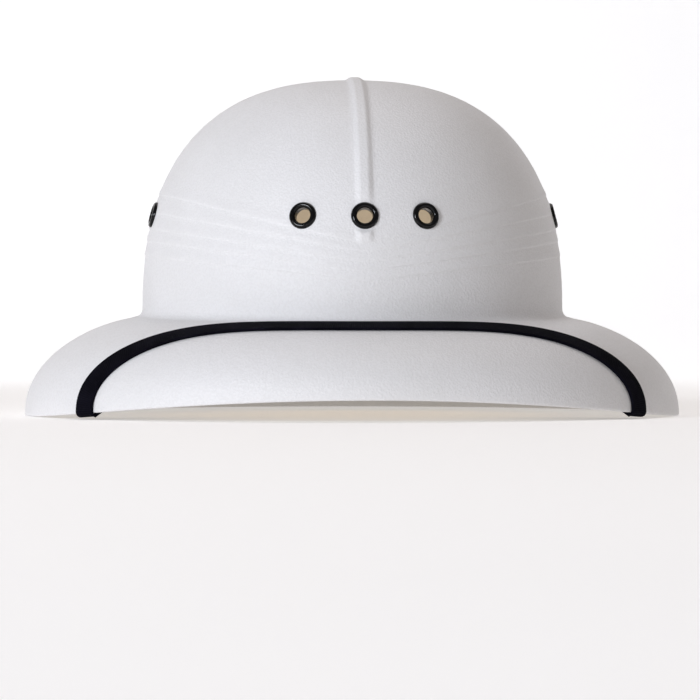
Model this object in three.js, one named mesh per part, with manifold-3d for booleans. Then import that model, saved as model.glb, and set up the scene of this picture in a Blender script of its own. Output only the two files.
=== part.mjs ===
// A pith helmet: one pressed shell of crown and brim with a crown ridge and pleats, five vent
// eyelets, a chin strap laid over the front of the brim, and a sweatband with a bound lower edge.
// Millimetres. -Y is the front, +Z is up from the rim, and the origin is under the middle.
import * as THREE from 'three';
import { mergeVertices } from 'three/addons/utils/BufferGeometryUtils.js';
import Module from 'manifold-3d';

const wasm = await Module();
wasm.setup();

const { degToRad, lerp } = THREE.MathUtils;

// The crown is a full dome over an oval base, and leans a little towards the front.
const CROWN = {
  halfWidth: 97.3,
  halfLength: 110.9,
  height: 109.3,
  fullness: 2.52,
  baseHeight: 45.4,
  centreY: -20.1,
  leanDeg: 2.03,
};

// The brim rounds over from the crown to a steep lip. Its edge arches up at the front.
const BRIM = {
  halfWidth: 151.5,
  frontReach: 155.8,
  backReach: 189.8,
  centreY: -17,
  roundOver: 1.25,
  curl: 0.95,
  arch: 9,
  archSpread: 1.1,
};

const WALL = 2.4;
const CLEARANCE = 0.3;
const ROOT_FILLET = 4;
const RIM_ROUND = { height: 1, width: 0.7 };

// Each pleat is a low step that faces down. It rises from the front towards the sides.
const PLEATS = [
  { frontRise: 19, sideRise: 29 },
  { frontRise: 23, sideRise: 35.8 },
  { frontRise: 27, sideRise: 41.3 },
  { frontRise: 31.5, sideRise: 48.5 },
  { frontRise: 35, sideRise: 57 },
];
const PLEAT_DEPTH = 0.6;
const PLEAT_LIP = 0.9;
const PLEAT_FADE = 5;

const RIDGE = { width: 6, height: 1.4, root: 1.2, tailRise: 36, taper: 5, rows: 32 };

const EYELETS = [
  { name: 'eyelet_front_left', turnDeg: -16.6, rise: 46 },
  { name: 'eyelet_front_centre', turnDeg: 0, rise: 46 },
  { name: 'eyelet_front_right', turnDeg: 16.6, rise: 46 },
  { name: 'eyelet_side_left', turnDeg: -82, rise: 47 },
  { name: 'eyelet_side_right', turnDeg: 82, rise: 47 },
];
const EYELET = {
  flangeRadius: 6,
  boreRadius: 3.4,
  barrelRadius: 4,
  domeHeight: 1.5,
  rollRadius: 5.3,
  rollThickness: 0.9,
  sides: 16,
};

const STRAP = {
  width: 12,
  thickness: 1.2,
  gap: 0.5,
  tailGap: 0.9,
  startOut: 0.25,
  crossDeg: 52.4,
  outwardPower: 4,
  anchorDeg: 45,
  underDeg: 125,
  shoulderDeg: 50,
  tail: 8,
};

const SWEATBAND = {
  height: 34,
  thickness: 1.6,
  wallGap: 4.6,
  seatGap: 0.8,
  sideDrop: 10,
  frontLift: 14,
  flareFrom: 0.6,
};
const BINDING = { width: 4, height: 5, corner: 0.8, overlap: 3 };

// How finely the surfaces are faceted.
const SHELL_SIDES = 60;
const BAND_SIDES = 44;
const ROWS = { crown: 7, crownInside: 8, brim: 8, brimInside: 6, ridgeRound: 6, eyeletDome: 4 };
const STRAP_ROWS = { onBrim: 24, roundRim: 5, underBrim: 5, shoulder: 4 };
const BRIM_START_DEG = 10;
const INSIDE_START = 0.1;
const NUDGE = 1e-3;
const SAME_POINT = 1e-4;

const crownFrame = new THREE.Matrix4()
  .makeRotationX(degToRad(CROWN.leanDeg))
  .setPosition(0, CROWN.centreY, CROWN.baseHeight);

// How far the dome has closed in at a height above its base: 1 at the base, 0 at the top.
function domeSpread(rise) {
  const part = THREE.MathUtils.clamp(rise / CROWN.height, 0, 1);
  return (1 - part ** CROWN.fullness) ** (1 / CROWN.fullness);
}

// A point of the crown: turn is the angle from the front, rise the height above the base.
function crownPoint(turn, rise, inset = 0) {
  const spread = domeSpread(rise);
  return new THREE.Vector3(
    (CROWN.halfWidth * spread - inset) * Math.sin(turn),
    -(CROWN.halfLength * spread - inset) * Math.cos(turn),
    rise,
  ).applyMatrix4(crownFrame);
}

function crownNormal(turn, rise) {
  const spread = domeSpread(rise);
  const power = CROWN.fullness - 1;
  return new THREE.Vector3(
    (spread ** power * Math.sin(turn)) / CROWN.halfWidth,
    (-(spread ** power) * Math.cos(turn)) / CROWN.halfLength,
    (Math.max(rise, 0) / CROWN.height) ** power / CROWN.height,
  ).transformDirection(crownFrame);
}

function rimHeight(turn) {
  const angle = Math.abs(Math.atan2(Math.sin(turn), Math.cos(turn))) * BRIM.archSpread;
  return angle < Math.PI / 2 ? BRIM.arch * Math.cos(angle) ** 2 : 0;
}

function rimPoint(turn) {
  const reach = Math.cos(turn) > 0 ? BRIM.frontReach : BRIM.backReach;
  return new THREE.Vector3(
    BRIM.halfWidth * Math.sin(turn),
    BRIM.centreY - reach * Math.cos(turn),
    rimHeight(turn),
  );
}

// A point of the brim's top: sweep goes from 0 at the crown to a right angle at the rim.
function brimPoint(turn, sweep) {
  const root = crownPoint(turn, 0);
  const rim = rimPoint(turn);
  const edge = rim.z + RIM_ROUND.height;
  const point = root.clone().lerp(rim, Math.sin(sweep) ** BRIM.roundOver);
  point.z = lerp(edge, root.z, Math.max(Math.cos(sweep), 0) ** BRIM.curl);
  return point;
}

function brimNormal(turn, sweep) {
  const inner = Math.max(sweep - NUDGE, 0);
  const outer = Math.min(sweep + NUDGE, Math.PI / 2);
  const across = brimPoint(turn, outer).sub(brimPoint(turn, inner));
  const along = brimPoint(turn + NUDGE, sweep).sub(brimPoint(turn - NUDGE, sweep));
  return across.cross(along).normalize();
}

// The fillet between crown and brim: angle 0 is on the crown wall, a right angle on the brim.
function filletFrame(turn) {
  const out = crownNormal(turn, 0);
  const up = new THREE.Vector3(0, 0, 1).transformDirection(crownFrame);
  const centre = crownPoint(turn, 0)
    .addScaledVector(out, ROOT_FILLET)
    .addScaledVector(up, ROOT_FILLET);
  return { out, up, centre };
}

function filletPoint(turn, angle, depth) {
  const { out, up, centre } = filletFrame(turn);
  return centre
    .addScaledVector(out, -(ROOT_FILLET + depth) * Math.cos(angle))
    .addScaledVector(up, -(ROOT_FILLET + depth) * Math.sin(angle));
}

const turns = (sides) => Array.from({ length: sides }, (_, i) => (2 * Math.PI * i) / sides);
const steps = (count, from, to) =>
  Array.from({ length: count + 1 }, (_, i) => lerp(from, to, i / count));
// Shares of the way up to a dome's top that stop one step short of it.
const stepsToTop = (count, from) => steps(count, from, count / (count + 1));

// Skins rings of equal count into a closed body. Poles close the two ends of an open row of
// rings, and a row without poles closes on itself.
function loft(rings, poles = null) {
  const count = rings[0].length;
  const vertices = rings.flat();
  const faces = [];
  const spans = poles ? rings.length - 1 : rings.length;
  for (let r = 0; r < spans; r += 1) {
    const next = (r + 1) % rings.length;
    for (let i = 0; i < count; i += 1) {
      const j = (i + 1) % count;
      const [a, b, c, d] = [r * count + i, r * count + j, next * count + j, next * count + i];
      faces.push(a, b, c, a, c, d);
    }
  }
  if (poles) {
    const first = vertices.push(poles[0]) - 1;
    const last = vertices.push(poles[1]) - 1;
    const tail = (rings.length - 1) * count;
    for (let i = 0; i < count; i += 1) {
      const j = (i + 1) % count;
      faces.push(first, j, i, last, tail + i, tail + j);
    }
  }
  const geometry = new THREE.BufferGeometry().setFromPoints(vertices);
  geometry.setIndex(faces);
  return facingOut(geometry);
}

function facingOut(geometry) {
  const position = geometry.getAttribute('position');
  const index = Array.from(geometry.index.array);
  const corner = (k) => new THREE.Vector3().fromBufferAttribute(position, index[k]);
  let volume = 0;
  for (let k = 0; k < index.length; k += 3) {
    volume += corner(k).dot(corner(k + 1).cross(corner(k + 2)));
  }
  if (volume < 0) {
    index.reverse();
    geometry.setIndex(index);
  }
  return geometry;
}

function toSolid(geometry) {
  const bare = geometry.clone();
  bare.deleteAttribute('normal');
  bare.deleteAttribute('uv');
  const merged = facingOut(mergeVertices(bare, SAME_POINT));
  return new wasm.Manifold(new wasm.Mesh({
    numProp: 3,
    vertProperties: new Float32Array(merged.getAttribute('position').array),
    triVerts: new Uint32Array(merged.index.array),
  }));
}

function toGeometry(solid) {
  const { vertProperties, triVerts } = solid.getMesh();
  const geometry = new THREE.BufferGeometry();
  geometry.setAttribute('position', new THREE.BufferAttribute(new Float32Array(vertProperties), 3));
  geometry.setIndex(Array.from(triVerts));
  return geometry;
}

// Shell

function pleatRise(pleat, turn) {
  return lerp(pleat.frontRise, pleat.sideRise, Math.abs(Math.sin(turn)));
}

const topPleat = PLEATS[PLEATS.length - 1];

// Rows of the crown's outside from the base up, each with its height and how far it stands out.
function crownRows() {
  const rows = [];
  for (const pleat of PLEATS) {
    rows.push({ rise: (turn) => pleatRise(pleat, turn) - PLEAT_LIP, swell: 0 });
    rows.push({ rise: (turn) => pleatRise(pleat, turn), swell: PLEAT_DEPTH });
  }
  for (const part of stepsToTop(ROWS.crown, 0)) {
    rows.push({ rise: (turn) => domeRise(pleatRise(topPleat, turn) + PLEAT_FADE, part), swell: 0 });
  }
  return rows;
}

// The height a part of the way, by angle, from a height on the dome to its top.
function domeRise(from, part) {
  const power = 2 / CROWN.fullness;
  const angle = Math.asin((from / CROWN.height) ** (1 / power));
  return CROWN.height * Math.sin(lerp(angle, Math.PI / 2, part)) ** power;
}

function ring(pointAt) {
  return turns(SHELL_SIDES).map(pointAt);
}

function crownRing(rise, offset) {
  return ring((turn) =>
    crownPoint(turn, rise(turn)).addScaledVector(crownNormal(turn, rise(turn)), offset));
}

function brimRing(sweep, offset) {
  return ring((turn) => brimPoint(turn, sweep).addScaledVector(brimNormal(turn, sweep), offset));
}

function rimRing(inset) {
  return ring((turn) => {
    const point = brimPoint(turn, Math.PI / 2).addScaledVector(brimNormal(turn, Math.PI / 2), -inset);
    point.z = rimHeight(turn);
    return point;
  });
}

function shellBody() {
  const quarter = Math.PI / 2;
  const sweeps = steps(ROWS.brim, degToRad(BRIM_START_DEG), quarter);
  const innerSweeps = steps(ROWS.brimInside, degToRad(BRIM_START_DEG), quarter);
  const innerRises = stepsToTop(ROWS.crownInside, INSIDE_START).map((part) => domeRise(0, part));
  const rings = [
    ...crownRows().reverse().map((row) => crownRing(row.rise, row.swell)),
    ...[0, quarter / 2, quarter].map((angle) => ring((turn) => filletPoint(turn, angle, 0))),
    ...sweeps.map((sweep) => brimRing(sweep, 0)),
    rimRing(RIM_ROUND.width),
    rimRing(WALL - RIM_ROUND.width),
    ...innerSweeps.reverse().map((sweep) => brimRing(sweep, -WALL)),
    ...[quarter, quarter / 2, 0].map((angle) => ring((turn) => filletPoint(turn, angle, WALL))),
    ...innerRises.map((rise) => crownRing(() => rise, -WALL)),
  ];
  const top = crownPoint(0, CROWN.height);
  const under = top.clone().addScaledVector(crownNormal(0, CROWN.height), -WALL);
  return loft(rings, [top, under]);
}

// The ridge runs from the front tail over the top to the back tail, fading into the crown.
function ridgeBody() {
  const power = 2 / CROWN.fullness;
  const tail = Math.asin((RIDGE.tailRise / CROWN.height) ** (1 / power));
  const halfRound = steps(ROWS.ridgeRound, 0, Math.PI);
  const stations = steps(RIDGE.rows, tail, Math.PI - tail).map((angle) => {
    const turn = angle < Math.PI / 2 ? 0 : Math.PI;
    const rise = CROWN.height * Math.sin(angle) ** power;
    return { point: crownPoint(turn, rise), normal: crownNormal(turn, rise) };
  });
  const ends = [stations[0].point, stations[stations.length - 1].point];
  const across = new THREE.Vector3(1, 0, 0);
  const rings = stations.map(({ point, normal }) => {
    const toEnd = Math.min(...ends.map((end) => end.distanceTo(point)));
    const fade = Math.min(toEnd / RIDGE.taper, 1);
    const height = RIDGE.height * Math.sqrt(fade * (2 - fade));
    const place = (x, z) => point.clone().addScaledVector(across, x).addScaledVector(normal, z);
    return [
      ...halfRound.map((a) => place((RIDGE.width / 2) * Math.cos(a), height * Math.sin(a))),
      place(-RIDGE.width / 2, -RIDGE.root),
      place(RIDGE.width / 2, -RIDGE.root),
    ];
  });
  const under = (station) => station.point.clone().addScaledVector(station.normal, -RIDGE.root / 2);
  return loft(rings, [under(stations[0]), under(stations[stations.length - 1])]);
}

// Turns a lathed piece so that its axis stands out of the crown at an eyelet.
function seatOnCrown(object, { turnDeg, rise }) {
  const turn = degToRad(turnDeg);
  object.position.copy(crownPoint(turn, rise));
  object.quaternion.setFromUnitVectors(new THREE.Vector3(0, 1, 0), crownNormal(turn, rise));
  return object;
}

// A vent hole with a flat seat on each side of the wall, cut through ridge and pleats alike.
function ventCutter(eyelet) {
  const hole = EYELET.barrelRadius + CLEARANCE;
  const outerSeat = EYELET.flangeRadius + CLEARANCE;
  const innerSeat = EYELET.rollRadius + CLEARANCE;
  const reach = 3 * WALL;
  const geometry = latheOf([
    [0, -reach],
    [innerSeat, -reach],
    [innerSeat, -WALL],
    [hole, -WALL],
    [hole, 0],
    [outerSeat, 0],
    [outerSeat, reach],
    [0, reach],
  ]);
  const holder = seatOnCrown(new THREE.Object3D(), eyelet);
  holder.updateMatrix();
  return toSolid(geometry.applyMatrix4(holder.matrix));
}

function latheOf(outline) {
  return new THREE.LatheGeometry(outline.map(([x, y]) => new THREE.Vector2(x, y)), EYELET.sides);
}

function shellGeometry() {
  let solid = toSolid(shellBody()).add(toSolid(ridgeBody()));
  for (const eyelet of EYELETS) {
    solid = solid.subtract(ventCutter(eyelet));
  }
  return toGeometry(solid);
}

// Eyelets

function eyeletGeometry() {
  const { flangeRadius, boreRadius, barrelRadius, domeHeight, rollRadius, rollThickness } = EYELET;
  const crest = (flangeRadius + boreRadius) / 2;
  const half = (flangeRadius - boreRadius) / 2;
  const dome = steps(ROWS.eyeletDome, Math.PI, 0).map((a) => [
    crest + half * Math.cos(a),
    CLEARANCE + (domeHeight - CLEARANCE) * Math.sin(a),
  ]);
  const rollTop = -WALL - CLEARANCE;
  const outline = [
    ...dome,
    [barrelRadius, CLEARANCE],
    [barrelRadius, rollTop],
    [rollRadius, rollTop],
    [rollRadius, rollTop - rollThickness / 2],
    [barrelRadius, rollTop - rollThickness],
    [boreRadius, rollTop - rollThickness],
    dome[0],
  ];
  return facingOut(mergeVertices(bareLathe(outline), SAME_POINT));
}

function bareLathe(outline) {
  const geometry = latheOf(outline);
  geometry.deleteAttribute('normal');
  geometry.deleteAttribute('uv');
  return geometry;
}

// Chin strap

// Half of the strap, from the middle of the front to its right end: places with their normals.
function strapStations() {
  const lift = STRAP.gap + STRAP.thickness / 2;
  const cross = degToRad(STRAP.crossDeg);
  const onBrim = steps(STRAP_ROWS.onBrim, 0, 1).map((w) => {
    const along = 1 - (1 - w) ** 2;
    const out = lerp(STRAP.startOut, 1, along ** STRAP.outwardPower);
    const sweep = Math.asin(Math.min(out, 1) ** (1 / BRIM.roundOver));
    const normal = brimNormal(cross * along, sweep);
    return { point: brimPoint(cross * along, sweep).addScaledVector(normal, lift), normal };
  });
  const outward = brimNormal(cross, Math.PI / 2);
  const rimAlong = rimPoint(cross + NUDGE).sub(rimPoint(cross - NUDGE)).normalize();
  const down = rimAlong.cross(outward).normalize();
  const middle = brimPoint(cross, Math.PI / 2).addScaledVector(outward, -WALL / 2);
  const turnRadius = WALL / 2 + lift;
  const rimAngles = steps(STRAP_ROWS.roundRim, 0, degToRad(STRAP.underDeg)).slice(1);
  const roundRim = rimAngles.map((angle) => {
    const normal = outward.clone().multiplyScalar(Math.cos(angle)).addScaledVector(down, Math.sin(angle));
    return { point: middle.clone().addScaledVector(normal, turnRadius), normal };
  });
  const anchor = degToRad(STRAP.anchorDeg);
  const depth = WALL + STRAP.tailGap + STRAP.thickness / 2;
  const { out, up } = filletFrame(anchor);
  const shoulderAngles = steps(STRAP_ROWS.shoulder, degToRad(STRAP.shoulderDeg), 0);
  const roundShoulder = shoulderAngles.map((angle) => ({
    point: filletPoint(anchor, angle, depth),
    normal: out.clone().multiplyScalar(-Math.cos(angle)).addScaledVector(up, -Math.sin(angle)),
  }));
  const last = roundShoulder[roundShoulder.length - 1];
  const end = { point: last.point.clone().addScaledVector(up, STRAP.tail), normal: last.normal };
  return [...onBrim, ...roundRim, ...underBrim(roundRim, roundShoulder), ...roundShoulder, end];
}

// The taut stretch under the brim, from the rim to the shoulder inside the crown.
function underBrim(roundRim, roundShoulder) {
  const from = roundRim[roundRim.length - 1];
  const to = roundShoulder[0];
  return steps(STRAP_ROWS.underBrim, 0, 1).slice(1, -1).map((part) => ({
    point: from.point.clone().lerp(to.point, part),
    normal: from.normal.clone().lerp(to.normal, part).normalize(),
  }));
}

function strapGeometry() {
  const half = strapStations();
  const flip = new THREE.Vector3(-1, 1, 1);
  const mirrored = half.slice(1).reverse().map(({ point, normal }) => ({
    point: point.clone().multiply(flip),
    normal: normal.clone().multiply(flip),
  }));
  const stations = [...mirrored, ...half];
  const rings = stations.map(({ point, normal }, i) => {
    const before = stations[Math.max(i - 1, 0)].point;
    const after = stations[Math.min(i + 1, stations.length - 1)].point;
    const along = after.clone().sub(before).normalize();
    const side = along.clone().cross(normal).normalize();
    const face = side.clone().cross(along);
    return [[1, 1], [-1, 1], [-1, -1], [1, -1]].map(([w, t]) =>
      point.clone()
        .addScaledVector(side, (w * STRAP.width) / 2)
        .addScaledVector(face, (t * STRAP.thickness) / 2));
  });
  return loft(rings, [stations[0].point, stations[stations.length - 1].point]);
}

// Sweatband

function bandLow(turn) {
  return SWEATBAND.frontLift * Math.cos(turn) - SWEATBAND.sideDrop;
}

// The middle of the sweatband's thickness, height up from its lower edge. Its top leans out to
// the crown's wall, which carries it.
function bandPoint(turn, height, offset) {
  const flare = (height / SWEATBAND.height - SWEATBAND.flareFrom) / (1 - SWEATBAND.flareFrom);
  const seated = SWEATBAND.seatGap + SWEATBAND.thickness / 2;
  const gap = lerp(SWEATBAND.wallGap, seated, Math.max(flare, 0));
  return crownPoint(turn, bandLow(turn) + height, WALL + gap + offset);
}

function bandLoft(section) {
  return loft(turns(BAND_SIDES).map((turn) =>
    section.map(([offset, height]) => bandPoint(turn, height, offset))));
}

function sweatbandGeometry() {
  const half = SWEATBAND.thickness / 2;
  const low = BINDING.height - BINDING.overlap;
  const bend = SWEATBAND.flareFrom * SWEATBAND.height;
  const heights = [low, bend, SWEATBAND.height];
  return bandLoft([
    ...heights.map((height) => [-half, height]),
    ...heights.toReversed().map((height) => [half, height]),
  ]);
}

// A folded strip that takes the sweatband's lower edge in its groove.
function bindingGeometry() {
  const half = BINDING.width / 2;
  const groove = SWEATBAND.thickness / 2 + CLEARANCE;
  const floor = BINDING.height - BINDING.overlap - CLEARANCE;
  return bandLoft([
    [-half, BINDING.height],
    [-half, BINDING.corner],
    [BINDING.corner - half, 0],
    [half - BINDING.corner, 0],
    [half, BINDING.corner],
    [half, BINDING.height],
    [groove, BINDING.height],
    [groove, floor],
    [-groove, floor],
    [-groove, BINDING.height],
  ]);
}

// Materials and the assembly

const finish = (color, roughness, metalness) =>
  new THREE.MeshStandardMaterial({ color, roughness, metalness });
const FINISHES = {
  shell: finish(0xe8e7ea, 0.5, 0),
  eyelet: finish(0x0b0b0e, 0.25, 0.4),
  strap: finish(0x0c0b14, 0.6, 0),
  sweatband: finish(0xd6cdb4, 0.7, 0),
  binding: finish(0xe2ded4, 0.6, 0),
};

function piece(name, geometry, material) {
  const mesh = new THREE.Mesh(geometry, material);
  mesh.name = name;
  return mesh;
}

const helmet = new THREE.Group();
helmet.add(piece('shell', shellGeometry(), FINISHES.shell));
for (const eyelet of EYELETS) {
  helmet.add(seatOnCrown(piece(eyelet.name, eyeletGeometry(), FINISHES.eyelet), eyelet));
}
helmet.add(piece('chin_strap', strapGeometry(), FINISHES.strap));
helmet.add(piece('sweatband', sweatbandGeometry(), FINISHES.sweatband));
helmet.add(piece('sweatband_edge', bindingGeometry(), FINISHES.binding));

export default helmet;
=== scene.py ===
"""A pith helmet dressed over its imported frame: shell, vents, chin strap, sweatband and a studio.

Metres, in the frame's own axes: -Y is the front of the helmet and +Z is up from its rim.
"""

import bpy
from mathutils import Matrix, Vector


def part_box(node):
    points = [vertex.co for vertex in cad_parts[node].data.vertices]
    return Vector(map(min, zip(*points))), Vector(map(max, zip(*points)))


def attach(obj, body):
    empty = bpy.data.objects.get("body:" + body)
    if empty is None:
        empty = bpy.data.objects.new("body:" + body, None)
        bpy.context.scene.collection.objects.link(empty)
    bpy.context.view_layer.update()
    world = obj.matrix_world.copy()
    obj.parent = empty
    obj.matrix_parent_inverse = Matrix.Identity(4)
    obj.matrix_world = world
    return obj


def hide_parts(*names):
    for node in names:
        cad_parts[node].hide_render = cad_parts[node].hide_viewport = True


bl_info = {
    "name": "Pith Helmet",
    "version": (1, 0, 0),
    "blender": (4, 5, 0),
    "location": "3D View > Sidebar > Pith Helmet",
    "description": "Builds a pith helmet with vents, chin strap and sweatband, and a plain studio",
    "category": "Add Mesh",
}

import math
from typing import NamedTuple

import bmesh
import bpy
import numpy as np
from bpy.props import FloatProperty, FloatVectorProperty, PointerProperty
from mathutils import Matrix, Vector
from mathutils.bvhtree import BVHTree

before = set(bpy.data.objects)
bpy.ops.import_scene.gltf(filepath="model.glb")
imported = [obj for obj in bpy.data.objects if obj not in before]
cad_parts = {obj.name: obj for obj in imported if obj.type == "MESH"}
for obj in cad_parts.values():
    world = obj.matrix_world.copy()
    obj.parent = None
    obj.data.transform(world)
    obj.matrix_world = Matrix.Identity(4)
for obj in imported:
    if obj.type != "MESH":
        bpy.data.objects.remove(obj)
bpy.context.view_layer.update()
SHELL_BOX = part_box("shell")

BODY = "root"
PLACE_MAP = "place"
MM = 0.001
RIGHT_ANGLE = math.pi / 2
NUDGE = 1e-3
BRIM_CENTRE_Y = -17.0 * MM


class Pleat(NamedTuple):
    """Height of one pleat above the crown's base, at the front and at the sides."""

    front_rise: float
    side_rise: float


PLEATS = (
    Pleat(19.0 * MM, 29.0 * MM),
    Pleat(23.0 * MM, 35.8 * MM),
    Pleat(27.0 * MM, 41.3 * MM),
    Pleat(31.5 * MM, 48.5 * MM),
    Pleat(35.0 * MM, 57.0 * MM),
)


class Vent(NamedTuple):
    """One vent eyelet: its piece, the node it stands for, and its place on the crown."""

    piece: str
    node: str
    turn_deg: float
    rise: float


VENTS = (
    Vent("vent_front_left", "eyelet_front_left", -16.6, 46.0 * MM),
    Vent("vent_front_centre", "eyelet_front_centre", 0.0, 46.0 * MM),
    Vent("vent_front_right", "eyelet_front_right", 16.6, 46.0 * MM),
    Vent("vent_side_left", "eyelet_side_left", -82.0, 47.0 * MM),
    Vent("vent_side_right", "eyelet_side_right", 82.0, 47.0 * MM),
)


# Settings

def length(name, description, default):
    """A size in metres."""
    return FloatProperty(name=name, description=description, default=default, unit="LENGTH", precision=5)


def angle(name, description, degrees):
    """An angle, given in degrees and kept in radians."""
    return FloatProperty(name=name, description=description, default=math.radians(degrees), subtype="ANGLE")


def number(name, description, default):
    """A bare number, such as a power or a share."""
    return FloatProperty(name=name, description=description, default=default)


def tint(name, description, default):
    """A linear colour."""
    return FloatVectorProperty(
        name=name, description=description, default=default, size=3, min=0.0, max=1.0, subtype="COLOR"
    )


class CrownSettings(bpy.types.PropertyGroup):
    """Form of the crown with its pleats and ridge."""

    half_width: length("Half width", "Half of the crown's width at its base", 97.3 * MM)
    half_length: length("Half length", "Half of the crown's length at its base", 110.9 * MM)
    height: length("Height", "Height of the dome over its base", 109.3 * MM)
    fullness: number("Fullness", "Power of the dome's outline, where 2 is an ellipse", 2.52)
    base_height: length("Base height", "Height of the crown's base over the rim", 45.4 * MM)
    centre_y: length("Centre", "Place of the crown along the helmet", -20.1 * MM)
    lean: angle("Lean", "How far the crown leans to the front", 2.03)
    wall: length("Wall", "Thickness of the pressed shell", 2.4 * MM)
    root_fillet: length("Root fillet", "Radius between crown and brim", 4.0 * MM)
    pleat_depth: length("Pleat depth", "How far a pleat stands out", 0.28 * MM)
    pleat_lip: length("Pleat lip", "Height of the step under a pleat", 0.9 * MM)
    pleat_fade: length("Pleat fade", "Height in which the top pleat dies out", 5.0 * MM)
    ridge_foot: length("Ridge foot", "Half of the ridge's width at its foot", 4.6 * MM)
    ridge_height: length("Ridge height", "How far the ridge stands out", 1.4 * MM)
    ridge_tail: length("Ridge tail", "Rise at which the ridge starts", 32.5 * MM)
    ridge_taper: length("Ridge taper", "Height in which the ridge comes up", 7.0 * MM)


class BrimSettings(bpy.types.PropertyGroup):
    """Form of the brim."""

    half_width: length("Half width", "Half of the rim's width", SHELL_BOX[1].x)
    front_reach: length("Front reach", "From the rim's middle to its front", BRIM_CENTRE_Y - SHELL_BOX[0].y)
    back_reach: length("Back reach", "From the rim's middle to its back", SHELL_BOX[1].y - BRIM_CENTRE_Y)
    centre_y: length("Centre", "Place of the rim's middle along the helmet", BRIM_CENTRE_Y)
    round_over: number("Round over", "Power of the brim's way out", 1.25)
    curl: number("Curl", "Power of the brim's way down", 0.95)
    arch: length("Arch", "How far the rim lifts at the front", 9.0 * MM)
    arch_spread: number("Arch spread", "How soon the arch comes down to the sides", 1.1)
    rim_height: length("Rim rounding height", "Height of the rim's rounded edge", 1.0 * MM)
    rim_width: length("Rim rounding width", "Width of the rim's rounded edge", 0.7 * MM)


class ShellFinish(bpy.types.PropertyGroup):
    """Colours and grain of the shell."""

    outside: tint("Outside", "White of the grained outside", (0.81, 0.805, 0.815))
    outside_drift: tint("Outside drift", "Tone that the outside drifts to", (0.785, 0.78, 0.785))
    # The crease tone is painted shade in the grooves between the pebbles of the grain.
    crease_shade: tint("Creases", "Tone between the pebbles of the grain", (0.70, 0.69, 0.69))
    underside: tint("Underside", "Warm white under the brim", (0.75, 0.73, 0.705))
    lining: tint("Lining", "Cream inside the crown", (0.73, 0.655, 0.53))
    grain_cell: length("Grain cell", "Size of one pebble of the grain", 1.0 * MM)
    grain_depth: length("Grain depth", "Depth of the grain", 0.08 * MM)


class VentSettings(bpy.types.PropertyGroup):
    """Form and colour of the vent eyelets."""

    flange_radius: length("Flange radius", "Outer radius of the domed flange", 6.0 * MM)
    bore_radius: length("Bore radius", "Radius of the open hole", 3.4 * MM)
    barrel_radius: length("Barrel radius", "Radius of the barrel in the wall", 4.0 * MM)
    dome_height: length("Dome height", "Height of the flange over the shell", 1.5 * MM)
    roll_radius: length("Roll radius", "Radius of the edge rolled over inside", 5.3 * MM)
    roll_thickness: length("Roll thickness", "Thickness of the rolled edge", 0.9 * MM)
    clearance: length("Clearance", "Gap between the barrel and its hole", 0.15 * MM)
    enamel: tint("Enamel", "Black of the enamel", (0.002, 0.002, 0.0023))
    rubbed: tint("Rubbed", "Tone of the enamel where it is rubbed", (0.0045, 0.0045, 0.005))


class StrapSettings(bpy.types.PropertyGroup):
    """Run and weave of the chin strap."""

    width: length("Width", "Width of the tape", 12.0 * MM)
    thickness: length("Thickness", "Thickness of the tape", 1.2 * MM)
    edge_radius: length("Edge radius", "Rounding of the tape's edges", 0.5 * MM)
    gap: length("Gap", "Gap between tape and brim", 0.17 * MM)
    tail_gap: length("Tail gap", "Gap between the tape's ends and the crown's wall", 0.9 * MM)
    start_out: number("Start", "Share of the brim between crown and tape at the front", 0.25)
    cross: angle("Crossing", "Turn from the front at which the tape crosses the rim", 52.4)
    outward_power: number("Outward power", "How late the tape turns out to the rim", 4.0)
    anchor: angle("Anchor", "Turn from the front at which the tape goes up inside", 45.0)
    under: angle("Under", "How far the tape turns round the rim", 125.0)
    shoulder: angle("Shoulder", "Where the tape meets the shoulder inside", 50.0)
    tail: length("Tail", "Length of the ends behind the sweatband", 8.0 * MM)
    rib_pitch: length("Rib pitch", "Distance between the cross ribs", 0.9 * MM)
    rib_depth: length("Rib depth", "Height of the cross ribs", 0.07 * MM)
    thread_pitch: length("Thread pitch", "Distance between the long threads", 0.55 * MM)
    yarn: tint("Yarn", "Blue-black of the yarn", (0.002, 0.0019, 0.0036))
    # This tone gives random patches and is also a painted highlight on the raised yarn.
    yarn_drift_and_highlight: tint("Yarn crown", "Tone of the raised yarn", (0.0055, 0.0051, 0.0095))


class BandSettings(bpy.types.PropertyGroup):
    """Form and colour of the sweatband and its bound edge."""

    height: length("Height", "Height of the band", 34.0 * MM)
    thickness: length("Thickness", "Thickness of the leathercloth", 1.6 * MM)
    wall_gap: length("Wall gap", "Gap between the band and the crown's wall", 4.6 * MM)
    seat_gap: length("Seat gap", "Gap at the top, where the wall carries the band", 0.8 * MM)
    side_drop: length("Side drop", "How far the band hangs under the crown's base", 10.0 * MM)
    front_lift: length("Front lift", "How far the band lifts at the front", 14.0 * MM)
    flare_from: number("Flare from", "Share of the height at which the band leans out", 0.6)
    binding_width: length("Binding width", "Width of the bound edge", 4.0 * MM)
    binding_height: length("Binding height", "Height of the bound edge", 5.0 * MM)
    binding_corner: length("Binding corner", "Rounding of the bound edge", 1.4 * MM)
    overlap: length("Overlap", "How far the band stands in the binding", 3.0 * MM)
    clearance: length("Clearance", "Gap between band and binding", 0.3 * MM)
    grain_cell: length("Grain cell", "Size of one pebble of the leathercloth", 0.7 * MM)
    cream: tint("Cream", "Cream of the leathercloth", (0.74, 0.68, 0.565))
    # The drift tone gives random patches and is also the painted shade in the grooves of the grain.
    cream_drift: tint("Cream drift", "Tone that the cream drifts to", (0.715, 0.65, 0.53))
    tape: tint("Tape", "Pale tone of the binding", (0.79, 0.77, 0.735))
    thread: tint("Thread", "Tone of the stitches", (0.86, 0.83, 0.76))


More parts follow.
